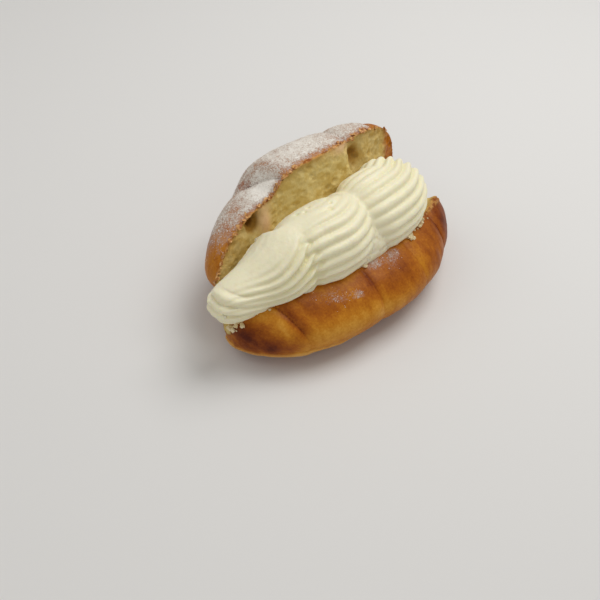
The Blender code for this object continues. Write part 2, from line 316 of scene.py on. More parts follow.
def lid_point(s, a):
    """Point of the upper half at s along it and a round it, from the rim over the crust and back."""
    w = rounding(s, LID_END_POWERS)
    x = LID_MIDDLE_X + LID_HALF_LENGTH * s
    tilt = radians(along(s, LID_TILT))
    low = 1 - LID_STEP * (1 - ramp(x, LID_STEP_X - LID_STEP_WIDTH, LID_STEP_X + LID_STEP_WIDTH))
    height = along(s, LID_HALF_HEIGHT) * w * low
    thickness = along(s, LID_HALF_THICKNESS) * w ** LID_THICKNESS_POWER
    centre_up = along(s, LID_CENTRE_UP) * low
    centre_back = along(s, LID_CENTRE_BACK) * w ** LID_THICKNESS_POWER
    front = along(s, LID_FACE_FRONT, LID_FACE_POWER) * w ** LID_THICKNESS_POWER
    start = -arcsin(clip((centre_back + front) / maximum(thickness, 1e-6), 0, 1))
    on_crust, t = crust_or_cut(a)
    phi = start + (pi - 2 * start) * t
    scale = furrowed(x, t, LID_FURROWS)
    up = centre_up + where(on_crust, height * cos(phi) * scale, height * cos(start) * (2 * t - 1))
    face = thickness * sin(start) - torn(x, t) * w
    back = centre_back + where(on_crust, thickness * sin(phi) * scale, face)
    y = along(s, LID_HINGE_Y) + up * cos(tilt) + back * sin(tilt)
    z = along(s, LID_HINGE_Z) + up * sin(tilt) - back * cos(tilt)
    return np.stack([x, y, maximum(z, HINGE_FLOOR_GAP)], -1)


def hinge_point(s, a):
    """Point of the uncut back at s along it and a round it."""
    r = along(s, HINGE_RADIUS) * rounding(s, HINGE_END_POWERS)
    x = HINGE_MIDDLE_X + HINGE_HALF_LENGTH * s
    y = along(s, HINGE_Y) + r * cos(2 * pi * a)
    z = HINGE_Z + r * sin(2 * pi * a)
    return np.stack([x, y, maximum(z, HINGE_FLOOR_GAP)], -1)


def curve(points, t):
    """A smooth curve through the points, at t from 0 to 1."""
    p = np.asarray(points, float)
    if p.ndim == 1:
        p = p[:, None]
    spans = len(p) - 1
    p = np.vstack([2 * p[0] - p[1], p, 2 * p[-1] - p[-2]])
    f = clip(t, 0, 1) * spans
    i = minimum(f.astype(int), spans - 1)
    f = (f - i)[..., None]
    a, b, c, d = p[i], p[i + 1], p[i + 2], p[i + 3]
    square = 2 * a - 5 * b + 4 * c - d
    cube = 3 * b - a - 3 * c + d
    return 0.5 * (2 * b + (c - a) * f + square * f ** 2 + cube * f ** 3)


def swung(s, a, swing):
    """The share of a turn at which the ridge a lies at s along the rope."""
    return a + swing * bell(s, SWING_PLACE, SWING_HALF_LENGTH)


def ridge_strength(s, a, rope):
    """How deep the ridges are, from little on the smooth side of a rope to 1 or more."""
    share = RIDGE_LEAST + (1 - RIDGE_LEAST) * ramp(swung(s, a, rope["swing"]), *rope["fade"])
    return share * along(s, rope["strengths"], 1.0)


def ridge_profile(a):
    """1 on the top of a ridge and 0 in the groove between two."""
    return abs(cos(RIDGES * pi * a)) ** RIDGE_POWER


def rope_point(s, a, rope):
    """Point of a ridged rope at s along it and a round it."""
    path = rope["path"]
    t = (s + 1) / 2
    step = 0.001
    ahead = unit(curve(path, minimum(t + step, 1)) - curve(path, maximum(t - step, 0)))
    side = unit(np.cross(ahead, np.array([0.0, 0.0, 1.0])))
    over = np.cross(side, ahead)
    angle = 2 * pi * swung(s, a, rope["swing"])
    profile = ridge_profile(a)
    ridge = 1 + RIDGE_DEPTH * ridge_strength(s, a, rope) * (profile - RIDGE_MEAN)
    reach = s * (1 + where(s < 0, rope["teeth"] * (1 - profile), 0))
    r = curve(rope["radii"], t)[..., 0] * rounding(clip(reach, -1, 1), rope["ends"]) * ridge
    return curve(path, t) + (r * cos(angle))[..., None] * side + (r * sin(angle))[..., None] * over


def core_point(s, a, core):
    """Point of a smooth tube of cream at s along it and a round it."""
    r = along(s, core["radius"]) * rounding(s, CORE_END_POWERS)
    y = along(s, core["y"]) + r * cos(2 * pi * a)
    z = along(s, core["z"]) + r * sin(2 * pi * a)
    return np.stack([core["middle"] + core["half_length"] * s, y, z], -1)


# Random fields

HASH_FACTORS = (73856093, 19349663, 83492791, 2654435)
HASH_ROUNDS = ((13, 1274126177), (15, 668265263))
HASH_MASK = 0x7FFFFFFF
# Brings most values of a rough field between -1 and 1.
ROUGH_SCALE = 1.5


def hashed(cell, seed):
    """A number from 0 to 1 for each cell of a grid, the same each time."""
    h = seed * HASH_FACTORS[3]
    for axis in range(3):
        h = h ^ cell[..., axis] * HASH_FACTORS[axis]
    for shift, factor in HASH_ROUNDS:
        h = (h ^ (h >> shift)) * factor & HASH_MASK
    return h / HASH_MASK


def lumps(points, size, seed):
    """Smooth random values from -1 to 1 that change over about the size given."""
    q = points / size
    cell = np.floor(q).astype(np.int64)
    f = q - cell
    f = f * f * (3 - 2 * f)
    total = 0
    for corner in product((0, 1), repeat=3):
        share = np.prod(where(np.array(corner) == 1, f, 1 - f), axis=-1)
        total = total + share * hashed(cell + np.array(corner), seed)
    return 2 * total - 1


def rough(points, size, seed, octaves):
    """Random values from about -1 to 1 with ever finer detail."""
    total = 0
    for octave in range(octaves):
        total = total + lumps(points, size / 2 ** octave, seed + octave) / 2 ** octave
    return total / ROUGH_SCALE


def layer(points, values):
    """A rough field, from its height, its size, its seed and its octaves in one tuple."""
    height, size, seed, octaves = values
    return height * rough(points, size, seed, octaves)


def cells(points, size, seed):
    """Distance to the nearest of randomly spread points, as a share of their spacing."""
    q = points / size
    cell = np.floor(q).astype(np.int64)
    nearest = np.full(len(points), np.inf)
    for shift in product((-1, 0, 1), repeat=3):
        there = cell + np.array(shift)
        spot = there + np.stack([hashed(there, seed + axis) for axis in range(3)], -1)
        nearest = minimum(nearest, np.linalg.norm(spot - q, axis=-1))
    return nearest


def patches(x, t, spots):
    """The sum of soft patches at x along the roll and t round it."""
    total = 0
    for place, turn, half_width, half_turn, strength in spots:
        total = total + strength * exp(-((x - place) / half_width) ** 2 - ((t - turn) / half_turn) ** 2)
    return total


def balls(points, spots):
    """The sum of soft round patches, each with its middle, its radius and its strength."""
    total = 0
    for x, y, z, radius, strength in spots:
        away = np.linalg.norm(points - np.array([x, y, z]), axis=1)
        total = total + strength * exp(-(away / radius) ** 4)
    return total


# Meshes

def closed_form(surface, steps):
    """Points, faces and the two places of each point, of a closed form with a pole at either end."""
    places = sin(pi / 2 * np.linspace(-1, 1, steps[0] + 1))
    outline = np.linspace(0, 1, steps[1], endpoint=False)
    s, a = np.meshgrid(places[1:-1], outline, indexing="ij")
    rings = surface(s, a).reshape(-1, 3)
    ends = np.array([-1.0, 1.0])
    points = np.vstack([rings, surface(ends, np.zeros(2))])
    grid = np.arange(len(rings)).reshape(s.shape)
    turned = np.roll(grid, -1, axis=1)
    first, last = len(rings), len(rings) + 1
    faces = np.stack([grid[:-1], grid[1:], turned[1:], turned[:-1]], -1).reshape(-1, 4).tolist()
    faces += [(first, j, k) for j, k in zip(grid[0].tolist(), turned[0].tolist())]
    faces += [(last, k, j) for j, k in zip(grid[-1].tolist(), turned[-1].tolist())]
    return points, faces, np.append(s.ravel(), ends), np.append(a.ravel(), (0, 0))


def placed(name, data):
    """A new object of the scene with the data."""
    obj = bpy.data.objects.new(name, data)
    bpy.context.collection.objects.link(obj)
    return obj


def fused(name, forms, size):
    """A mesh with even faces round all the forms, and for each form the arrays of its places."""
    points = np.vstack([form[0] for form in forms])
    faces = []
    count = 0
    for form in forms:
        faces += [tuple(corner + count for corner in face) for face in form[1]]
        count += len(form[0])
    mesh = bpy.data.meshes.new(name + "_forms")
    mesh.from_pydata(points.tolist(), [], faces)
    obj = placed(name + "_forms", mesh)
    remesh = obj.modifiers.new("fuse", "REMESH")
    remesh.mode = "VOXEL"
    remesh.voxel_size = size
    depsgraph = bpy.context.evaluated_depsgraph_get()
    result = bpy.data.meshes.new_from_object(obj.evaluated_get(depsgraph))
    result.name = name
    bpy.data.objects.remove(obj)
    bpy.data.meshes.remove(mesh)
    return result, points


def read_vectors(rows, name):
    flat = np.empty(len(rows) * 3, np.float32)
    rows.foreach_get(name, flat)
    return flat.reshape(-1, 3).astype(float)


def read_points(mesh):
    return read_vectors(mesh.vertices, "co")


def write_points(mesh, points):
    mesh.vertices.foreach_set("co", points.astype(np.float32).ravel())
    mesh.update()


def read_normals(mesh):
    return read_vectors(mesh.vertex_normals, "vector")


# The share of the way to the middle of its neighbours that a point moves in one round.
SMOOTHING_SHARE = 0.5


def relaxed(mesh, points, rounds):
    """The points, each moved towards the middle of its neighbours."""
    pairs = np.empty(len(mesh.edges) * 2, np.int32)
    mesh.edges.foreach_get("vertices", pairs)
    pairs = pairs.reshape(-1, 2)
    start = np.concatenate([pairs[:, 0], pairs[:, 1]])
    other = np.concatenate([pairs[:, 1], pairs[:, 0]])
    count = np.bincount(start, minlength=len(points))[:, None]
    for _ in range(rounds):
        sums = [np.bincount(start, points[other, axis], len(points)) for axis in range(3)]
        points = points + SMOOTHING_SHARE * (np.stack(sums, -1) / count - points)
    return points


def smoothed(mesh, points, share, rounds):
    """The points, each moved by its share of what so many rounds of relaxing would do."""
    return points + share[:, None] * (relaxed(mesh, points, rounds) - points)


def nearest(points, source_points):
    """For each point, the number of the nearest source point and the distance to it."""
    tree = KDTree(len(source_points))
    for number, point in enumerate(source_points.tolist()):
        tree.insert(point, number)
    tree.balance()
    numbers, distances = zip(*(tree.find(point)[1:] for point in points.tolist()))
    return np.array(numbers), np.array(distances)


def places_of(forms, numbers):
    """For each of the numbers, which form it belongs to and its two places there."""
    which = np.concatenate([np.full(len(form[0]), number) for number, form in enumerate(forms)])
    s = np.concatenate([form[2] for form in forms])
    a = np.concatenate([form[3] for form in forms])
    return which[numbers], s[numbers], a[numbers]


def in_box(points):
    """The points in metres in the part's frame, kept inside the box of the solids."""
    return clip((points + PLACE) * MM, *BOX)


def piece(name, mesh, material, replaced=None):
    """The mesh as a piece of the object."""
    obj = placed(name, mesh)
    obj.data.materials.append(material)
    obj.data.shade_smooth()
    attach(obj, "root")
    if replaced:
        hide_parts(replaced)
    return obj


def put_fields(mesh, **fields):
    """Gives the mesh a value per point under each name, for the materials."""
    for name, values in fields.items():
        attribute = mesh.attributes.new(name, "FLOAT", "POINT")
        attribute.data.foreach_set("value", np.asarray(values, np.float32))


# Bread

# Rounds of smoothing that soften the joins of fused forms.
FUSED_ROUNDS = 2

# Random layers: height in millimetres or strength, size of the lumps in millimetres, seed and octaves.
TEAR_RAGS = (0.9, 2.4, 11, 4)
CRUST_WAVES = (0.5, 16.0, 21, 3)
CRUST_GRAIN = (0.07, 3.5, 31, 3)
STREAKS = (1.0, 3.0, 25, 3)
CRUMB_WAVES = (1.3, 9.0, 61, 4)
RIM_JAGS = (1.3, 2.6, 71, 4)
LIP_WAVER = (0.7, 12.0, 85, 2)
LIP_GAPS = (0.5, 9.0, 81, 2)
BROWN_CLOUDS = (0.09, 9.0, 91, 4)
BROWN_RIM = (0.25, 3.5, 95, 4)
SUGAR_EDGE = (0.8, 3.0, 99, 4)

# Distance from the rim: lengths of the crust and the cut face round a section, the least share of them at
# the ends, and the distance that stands for the uncut back.
CRUST_LENGTH = 100.0
CUT_LENGTH = 46.0
LEAST_LENGTH = 0.25
BACK_DISTANCE = 20.0

# The crumb begins at this distance from the rim; beyond these places the crust closes over it.
CRUMB_EDGE = (-0.5, 0.4)
CLOSED_BASE_LEFT = (-62.0, -58.0)
CLOSED_BASE_RIGHT = (76.0, 80.0)
CLOSED_LID_RIGHT = (68.0, 74.0)
# The tear runs this far over the rim, in a stretch with this middle and half-width.
TORN_LEFT = 4.0
TORN_LEFT_X = (-52.0, 6.0)

# Creases in a furrow of the share given: height and width of the upper wrap and of the slit beside it, and
# where both fade out round the crust and near the rim.
CREASE_WRAP = (0.35, 4.0)
CREASE_SLIT = (0.45, 0.9)
CREASE_SHARE = 0.05
CREASE_FADE = (0.15, 0.45)
CREASE_RIM_GAP = 4.0

# Streaks in the dough: their lean at places along the roll, length, distance in the random field between
# those of the two halves, and height.
STREAK_PLACES = (-60.0, -44.0, 4.0, 33.0, 61.0)
STREAK_LEANS = (30.0, 26.0, 4.0, 10.0, 4.0)
STREAK_LENGTH = 30.0
STREAK_SHIFT = 40.0
STREAK_HEIGHT = 0.12
CRUST_SINK = 0.45

# Pores of the crumb: size and seed, depth, and the share of their spacing in which the walls rise.
PORE_STRETCH = np.array([0.8, 1.0, 1.0])
PORES = (4.2, 41)
PORE_DEPTH = 1.1
SMALL_PORES = (1.9, 51)
SMALL_PORE_DEPTH = 0.25
PORE_WALL = (0.1, 0.5)
CRUMB_SINK = 0.4
CRUMB_RIM_GAP = 2.5

# Spots on the upper half's inner face: x, place from hinge to rim, half-widths and strength.
SMALL_HOLLOW = (-26.5, 0.90, 3.2, 0.12, 2.0)
DEEPER_HOLLOW = (45.0, 0.76, 7.0, 0.20, 0.20)
SMOOTH_LUMP = (-20.0, 0.80, 3.5, 0.20, 1.0)
PALE_RIM = (31.0, 0.97, 6.0, 0.05, 0.9)
TOASTED = ((60.0, 0.70, 18.0, 0.40, 0.30), (-42.0, 0.85, 13.0, 0.30, 0.45))
PIT_DEPTH = 2.2
LUMP_HEIGHT = 1.4
TOASTED_WIDTH = 2.2
# Share of the hollows' depth that adds painted shade to the toasted colour.
TOASTED_HOLLOW_SHADE = 0.45

# The torn rim: its distance and half-width, its height, and the level about which its jags vary.
RIM = (0.3, 0.8)
RIM_LIP = 0.8
RIM_LEVEL = 0.5
# The lower half's rim is raised near its right end: x, distance from the rim, half-widths and height.
RIGHT_SWELLING = (74.0, -4.0, 10.0, 12.0, 3.2)

# Pale torn lip low on the left end: height, line, where it ends, and the level and top of its strength.
LIP_HEIGHT = 1.3
LIP_Z = 8.2
LIP_HALF_HEIGHT = 0.9
LIP_X = (-22.0, -4.0)
LIP_Y = 5.0
LIP_LEVEL = 0.8
LIP_MOST = 1.3

# The relief fades out at this height above the floor.
FLOOR_FADE = (0.1, 1.0)

# Browning: paler on the lower half's belly and the lip; a painted highlight on the raised wraps, painted
# shadow below the lip and painted shade in the slits.
PALE_BELLY = 0.22
PALE_BELLY_PLACE = (0.30, 0.50)
LIP_PALER = 0.30
LIP_SHADOW_SPAN = (0.5, 2.5)
LIP_SHADOW_DARKER = 0.3
WRAP_HIGHLIGHT = 0.15
SLIT_SHADE = 0.45
STREAK_BROWN = 0.11

# Sugar lies where the crust faces up, from this distance from the rim, with less near the upper half's rim.
SUGAR_SLOPE = (-0.35, 0.25)
SUGAR_START = (-0.2, 1.0)
LID_RIM_SUGAR = 0.35
LID_RIM_SUGAR_GAP = (0.2, 5.0)
LID_SUGAR_POWER = 0.3


def crease_relief(x, t, furrows):
    """A fine crease in each furrow, with the right-hand wrap standing a little over the left-hand one."""
    total = 0
    for place, lean, depth in furrows:
        distance = x - place - lean * t
        raised = CREASE_WRAP[0] * (distance > 0) * exp(-abs(distance) / CREASE_WRAP[1])
        sunk = CREASE_SLIT[0] * exp(-abs(distance) / CREASE_SLIT[1])
        total = total + (raised - sunk) * depth / CREASE_SHARE * (1 - ramp(t, *CREASE_FADE))
    return total


def bread_places(points, normals, which, s, a):
    """What the steps below need to know of each point of the bread."""
    at = SimpleNamespace(points=points, normals=normals, x=points[:, 0])
    at.base = which == 0
    at.lid = which == 1
    at.half = at.base | at.lid
    at.crust = (a < CRUST_SHARE) | ~at.half
    at.lid_cut = at.lid & ~at.crust
    at.t = where(at.crust, a / CRUST_SHARE, (a - CRUST_SHARE) / (1 - CRUST_SHARE))
    w = where(at.base, rounding(s, BASE_END_POWERS), rounding(s, LID_END_POWERS))
    edge = where(at.crust, at.t * CRUST_LENGTH, (at.t - 1) * CUT_LENGTH) * maximum(w, LEAST_LENGTH)
    at.edge = where(at.half, edge, BACK_DISTANCE)
    at.rim = bell(at.edge, *RIM) * at.half

    closed_base = 1 - ramp(at.x, *CLOSED_BASE_LEFT) + ramp(at.x, *CLOSED_BASE_RIGHT)
    at.closed = where(at.base, closed_base, ramp(at.x, *CLOSED_LID_RIGHT)) * at.half
    torn_left = bell(at.x, *TORN_LEFT_X) * at.base
    ragged = at.edge + layer(points, TEAR_RAGS) - TORN_LEFT * torn_left
    at.crumb = (1 - ramp(ragged, *CRUMB_EDGE)) * (1 - at.closed)

    creases = where(at.base, crease_relief(at.x, at.t, BASE_FURROWS), 0)
    at.creases = where(at.lid, crease_relief(at.x, at.t, LID_FURROWS), creases)
    flow = at.x - np.interp(at.x, STREAK_PLACES, STREAK_LEANS) * at.t
    shift = where(at.lid, STREAK_SHIFT, 0.0)
    at.streaks = layer(np.stack([flow, STREAK_LENGTH * at.t, shift], -1), STREAKS)

    at.lump = where(at.lid_cut, patches(at.x, at.t, (SMOOTH_LUMP,)), 0)
    at.pit = where(at.lid_cut, patches(at.x, at.t, (SMALL_HOLLOW, DEEPER_HOLLOW)), 0)
    waver = points[:, 2] - LIP_Z + layer(points, LIP_WAVER)
    in_lip = bell(waver, 0, LIP_HALF_HEIGHT) * (1 - ramp(at.x, *LIP_X))
    in_lip = in_lip * (points[:, 1] < LIP_Y)
    broken = clip(LIP_LEVEL + layer(points, LIP_GAPS), 0, LIP_MOST)
    at.lip = where(at.base & at.crust, in_lip * broken, 0)
    return at


def crust_relief(at):
    """The waves, the streaks and the creases of the crust."""
    relief = layer(at.points, CRUST_WAVES) + layer(at.points, CRUST_GRAIN)
    relief = relief + STREAK_HEIGHT * at.streaks - CRUST_SINK
    return relief + at.creases * ramp(at.edge, 0, CREASE_RIM_GAP)


def crumb_relief(at):
    """The waves and the pores of the torn crumb, with a lump and pits in it."""
    pores = cells(at.points * PORE_STRETCH, *PORES)
    small_pores = cells(at.points, *SMALL_PORES)
    relief = layer(at.points, CRUMB_WAVES) - PORE_DEPTH * (1 - ramp(pores, *PORE_WALL)) - CRUMB_SINK
    relief = relief - SMALL_PORE_DEPTH * (1 - ramp(small_pores, *PORE_WALL))
    relief = relief * (1 - clip(at.lump, 0, 1)) + LUMP_HEIGHT * at.lump - PIT_DEPTH * at.pit
    return relief * ramp(-at.edge, 0, CRUMB_RIM_GAP)


def bread_relief(at):
    """How far each point stands out over the form; not at all where the bread rests on the floor."""
    relief = where(at.crust, crust_relief(at), crumb_relief(at))
    relief = relief + RIM_LIP * at.rim * (1 - at.closed) * (RIM_LEVEL + layer(at.points, RIM_JAGS))
    relief = relief + LIP_HEIGHT * at.lip + where(at.base, patches(at.x, at.edge, (RIGHT_SWELLING,)), 0)
    on_floor = 1 - ramp(at.points[:, 2], *FLOOR_FADE)
    return relief * (1 - on_floor)


def browning(at):
    """How dark the crust is baked, from 0 to 1, with painted shadow below the lip, painted shade in the slits
    and a painted highlight on the raised wraps.
    """
    brown = where(at.base, patches(at.x, at.t, BASE_BROWNING), patches(at.x, at.t, LID_BROWNING))
    brown = where(at.half, brown, 0) + BROWNING_LEVEL + balls(at.points, DARK_CAP) * at.base
    pale_belly = PALE_BELLY * ramp(at.t, *PALE_BELLY_PLACE) * at.base
    # Painted shadow below the lip.
    lip_shadow = ramp(LIP_Z - at.points[:, 2], *LIP_SHADOW_SPAN) * at.base
    brown = brown - pale_belly - LIP_PALER * at.lip + LIP_SHADOW_DARKER * lip_shadow
    brown = brown + layer(at.points, BROWN_CLOUDS) + STREAK_BROWN * at.streaks
    # Painted highlight on the raised wraps and painted shade in the slits.
    brown = brown - WRAP_HIGHLIGHT * clip(at.creases, 0, 1) + SLIT_SHADE * clip(-at.creases, 0, 1)
    return brown + at.rim * layer(at.points, BROWN_RIM)


def dusting(at):
    """How much sugar lies on each point, from 0 to about 1."""
    on_top = ramp(at.x, *LID_SUGAR_LEFT) * (1 - ramp(at.x, *LID_SUGAR_RIGHT))
    on_top = on_top * (1 - ramp(at.t, *LID_SUGAR_BACK))
    from_rim = LID_RIM_SUGAR + (1 - LID_RIM_SUGAR) * ramp(at.edge, *LID_RIM_SUGAR_GAP)
    on_lid = (LID_SUGAR_LEVEL * on_top + patches(at.x, at.t, LID_SUGAR)) * from_rim
    on_base = where(at.base, patches(at.x, at.t, BASE_SUGAR), 0)
    sugar = where(at.lid, on_lid * on_top ** LID_SUGAR_POWER, on_base)
    start = ramp(at.edge + layer(at.points, SUGAR_EDGE), *SUGAR_START)
    return sugar * ramp(at.up, *SUGAR_SLOPE) * start * at.crust


def make_bread(material):
    """Makes the bread, and returns what the loose bits need to know of its points."""
    halves = (closed_form(base_point, HALF_STEPS), closed_form(lid_point, HALF_STEPS))
    forms = (*halves, closed_form(hinge_point, HINGE_STEPS))
    mesh, source = fused("bread", forms, BREAD_FACE)
    points = relaxed(mesh, read_points(mesh), FUSED_ROUNDS)
    write_points(mesh, points)
    places = places_of(forms, nearest(points, source)[0])
    at = bread_places(points, read_normals(mesh), *places)
    at.points = points + at.normals * bread_relief(at)[:, None]
    write_points(mesh, in_box(at.points))

    at.up = read_normals(mesh)[:, 2]
    at.sugar = dusting(at)
    pale = where(at.lid_cut, patches(at.x, at.t, (PALE_RIM,)), 0)
    # How deep the hollows are, which sets their painted shade.
    hollow = where(at.lid_cut, -torn(at.x, at.t) / HOLLOW_DEPTH, 0) + at.pit
    # Toasted crumb near the crust, with painted shade added in the hollows.
    toasted = exp(-abs(at.edge) / TOASTED_WIDTH) + TOASTED_HOLLOW_SHADE * hollow
    toasted = toasted + patches(at.x, at.t, TOASTED) * at.lid
    put_fields(mesh, crumb=at.crumb, browning=browning(at), sugar=at.sugar, rim=at.rim,
               lip=clip(at.lip, 0, 1), hollow=clip(hollow, 0, 2), toasted=clip(toasted, 0, 1),
               lump=clip(at.lump + pale, 0, 1))
    piece("croissant_bread", mesh, material, "croissant")
    at.points = read_points(mesh)
    at.normals = read_normals(mesh)
    return at


# Cream

# Random layers, given as for the bread, and how far all of the cream is sunk for them.
CREAM_WAVES = (0.45, 9.0, 101, 2)
CREAM_GRAIN = (0.07, 1.6, 111, 3)
FOLD_WAVER = (1.3, 12.0, 121, 2)
TAIL_LUMPS = (1.5, 3.5, 131, 3)
TAIL_LUMPS_SPAN = (0.86, 1.0)
CREAM_SINK = 0.25

# How deep and how near the cream is sunk beside each rope; the left one itself is sunk beside the middle one.
SEAM_DEPTHS = (0.1, 0.0, 0.7)
SEAM_HALF_WIDTH = 1.0
# The cream is smoothed where the right rope meets the middle one.
SMOOTHED_HALF_WIDTH = 1.3
SMOOTHED_ROUNDS = 20
# The left and the middle rope run into each other at the back, beyond this place.
JOINED_HALF_WIDTH = 7.0
JOINED_Y = (-9.0, -1.0)
JOINED_ROUNDS = 200
# Depth of the ridges where the cream between two ropes shows.
CORE_RIDGE = 2.2

# Folds at the left rope's tail: where they fade in along it and round it, how much sooner round it at the
# end, their lean along X, the rise from one to the next and their depth.
FOLD_SPAN = (0.45, 0.85)
FOLD_FADE = (0.22, 0.40)
FOLD_TURN = 0.3
FOLD_TURN_SPAN = (0.75, 1.0)
FOLD_LEAN = 0.12
FOLD_RISE = 4.6
FOLD_HEIGHT = 1.7
# The cream under the right rope's head is folded too, from this place on.
FOLDED_CORE_X = (46.0, 54.0)

# Small pits where the cream faces up: x, y and half-width.
PITS = ((-14.0, 8.0, 1.1), (-7.5, 7.5, 0.9), (-11.0, 5.5, 0.8), (-2.0, -2.0, 0.9), (1.0, 1.5, 0.8))
PIT_UP = 0.2
CREAM_PIT_DEPTH = 0.9

# How much painted shade deepens the colour in a groove, a seam and a pit.
GROOVE_SHADE = 0.8
SEAM_SHADE = 0.5
PIT_SHADE = 0.6


def seam_depth(away, which, is_core, joined):
    """How deep each point is sunk beside the other ropes."""
    depth = 0
    for number, own_depth in enumerate(SEAM_DEPTHS):
        near = bell(away[number], 0, SEAM_HALF_WIDTH) * own_depth
        depth = maximum(depth, where((which == number) | is_core, 0, near))
    near = bell(away[MIDDLE], 0, SEAM_HALF_WIDTH) * SEAM_DEPTHS[LEFT]
    return maximum(depth, where(which == LEFT, near, 0)) * (1 - joined)


def fold_relief(points, which, s, a, is_core):
    """The folds at the left rope's tail and under the right rope's head."""
    turned = a + FOLD_TURN * ramp(s, *FOLD_TURN_SPAN)
    on_tail = (which == LEFT) * ramp(s, *FOLD_SPAN) * ramp(turned, *FOLD_FADE)
    folded = maximum(on_tail, is_core * ramp(points[:, 0], *FOLDED_CORE_X))
    level = points[:, 2] + FOLD_LEAN * points[:, 0] + layer(points, FOLD_WAVER)
    folds = abs(cos(pi * level / FOLD_RISE)) ** RIDGE_POWER - RIDGE_MEAN
    return FOLD_HEIGHT * folded * folds


def small_pits(points, up):
    """1 in the middle of each small pit and 0 away from them."""
    pits = 0
    for x, y, half_width in PITS:
        apart = np.hypot(points[:, 0] - x, points[:, 1] - y)
        pits = pits + bell(apart, 0, half_width) * (up > PIT_UP)
    return pits


def make_cream(material):
    ropes = [closed_form(partial(rope_point, rope=rope), ROPE_STEPS) for rope in ROPES]
    forms = ropes + [closed_form(partial(core_point, core=core), CORE_STEPS) for core in CORES]
    mesh, source = fused("cream", forms, CREAM_FACE)
    points = relaxed(mesh, read_points(mesh), FUSED_ROUNDS)
    is_core = places_of(forms, nearest(points, source)[0])[0] >= len(ropes)
    which, s, a = places_of(ropes, nearest(points, np.vstack([rope[0] for rope in ropes]))[0])
    away = [nearest(points, rope[0])[1] for rope in ropes]
    beside = bell(away[RIGHT] + away[MIDDLE], 0, SMOOTHED_HALF_WIDTH)
    points = smoothed(mesh, points, beside, SMOOTHED_ROUNDS)
    joined = bell(away[MIDDLE] + away[LEFT], 0, JOINED_HALF_WIDTH) * ramp(points[:, 1], *JOINED_Y)
    points = smoothed(mesh, points, joined, JOINED_ROUNDS)
    write_points(mesh, points)
    normals = read_normals(mesh)

    strength = 0
    for number, rope in enumerate(ROPES):
        strength = where(which == number, ridge_strength(s, a, rope), strength)
    profile = ridge_profile(a)
    on_core = CORE_RIDGE * strength * (profile - RIDGE_MEAN) * is_core
    groove = (1 - profile) ** 2 * strength * (1 - maximum(beside, joined))
    seam = seam_depth(away, which, is_core, joined)
    pits = small_pits(points, normals[:, 2])
    on_tail = layer(points, TAIL_LUMPS) * ramp(s, *TAIL_LUMPS_SPAN) * (which == LEFT)
    relief = layer(points, CREAM_WAVES) + layer(points, CREAM_GRAIN) - CREAM_SINK + on_core
    relief = relief - seam - CREAM_PIT_DEPTH * pits + fold_relief(points, which, s, a, is_core) + on_tail
    write_points(mesh, in_box(points + normals * relief[:, None]))
    # Painted shade in the grooves, seams and pits.
    put_fields(mesh, groove=clip(GROOVE_SHADE * groove + SEAM_SHADE * seam + PIT_SHADE * pits, 0, 1))
    piece("piped_cream", mesh, material, "cream")


# Loose bits: sugar grains, crumbs and flakes of crust

# Each kind: number, smallest and largest radius, thickness as a share of the width, fineness and seed.
SUGAR_GRAINS = {"count": 3500, "radii": (0.10, 0.26), "squash": 1.0, "detail": 1, "seed": 201}
TORN_CRUMBS = {"count": 170, "radii": (0.4, 1.8), "squash": 0.75, "detail": 2, "seed": 211}
CRUST_FLAKES = {"count": 90, "radii": (0.6, 2.0), "squash": 0.15, "detail": 1, "seed": 221}

# Stretch of a bit along each axis, roughness, curl, tilt, and how far it stands out of the bread.
BIT_STRETCH = (0.6, 1.3)
BIT_ROUGHNESS = 0.22
BIT_CURL = 0.35
BIT_TILT = 0.35
BIT_HEIGHT = 0.3

# Where bits lie: crumbs at the left tip, as a patch, and in stretches of the lower half's rim, each with its
# middle, half-width and strength; flakes along the upper half's rim as far as the last place.
GRAIN_POWER = 1.5
TIP_CRUMBS = (-52.0, 2.5, 7.0, 2.5, 1.6)
RIM_CRUMBS = ((8.0, 7.0, 0.8), (44.0, 8.0, 1.2))
CRUMB_RIM = (0.5, 1.8)
CRUMB_UP = -0.3
FLAKE_RIM = (0.2, 0.8)
FLAKE_RIGHT = 72.0


def lump_form(detail):
    """Points and faces of a round lump of radius 1."""
    bm = bmesh.new()
    bmesh.ops.create_icosphere(bm, subdivisions=detail, radius=1)
    points = np.array([vert.co for vert in bm.verts])
    faces = np.array([[vert.index for vert in face.verts] for face in bm.faces])
    bm.free()
    return points, faces


def frames(normals, random):
    """Three axes at each normal, the third along it but tilted at random, the first at random."""
    third = unit(normals + BIT_TILT * random.normal(size=normals.shape))
    first = unit(np.cross(third, random.normal(size=normals.shape)))
    return np.stack([first, np.cross(third, first), third], 1)


def scattered(name, bread, weights, material, slot, count, radii, squash, detail, seed):
    """One mesh of small lumps on the bread, denser where the weights are high."""
    random = np.random.default_rng(seed)
    chosen = random.choice(len(weights), count, p=weights / weights.sum())
    form, faces = lump_form(detail)
    small, large = radii
    size = small + (large - small) * random.uniform(0, 1, count) ** 2
    shape = random.uniform(*BIT_STRETCH, (count, 1, 3)) * np.array([1.0, 1.0, squash])
    bits = form * shape * (1 + BIT_ROUGHNESS * random.normal(size=(count, len(form), 1)))
    bits[..., 2] += BIT_CURL * (1 - squash) * bits[..., 0] ** 2
    normals = bread.normals[chosen]
    turned = np.einsum("nij,njk->nik", bits, frames(normals, random)) * size[:, None, None] * MM
    places = bread.points[chosen] + normals * (size * squash * BIT_HEIGHT)[:, None] * MM
    points = turned + places[:, None]
    points = points[((points > BOX[0]) & (points < BOX[1])).all(axis=(1, 2))]
    faces = (faces + np.arange(len(points))[:, None, None] * len(form)).reshape(-1, 3)
    mesh = bpy.data.meshes.new(name)
    mesh.from_pydata(points.reshape(-1, 3).tolist(), [], faces.tolist())
    obj = piece(name, mesh, material)
    obj.data.shade_flat()


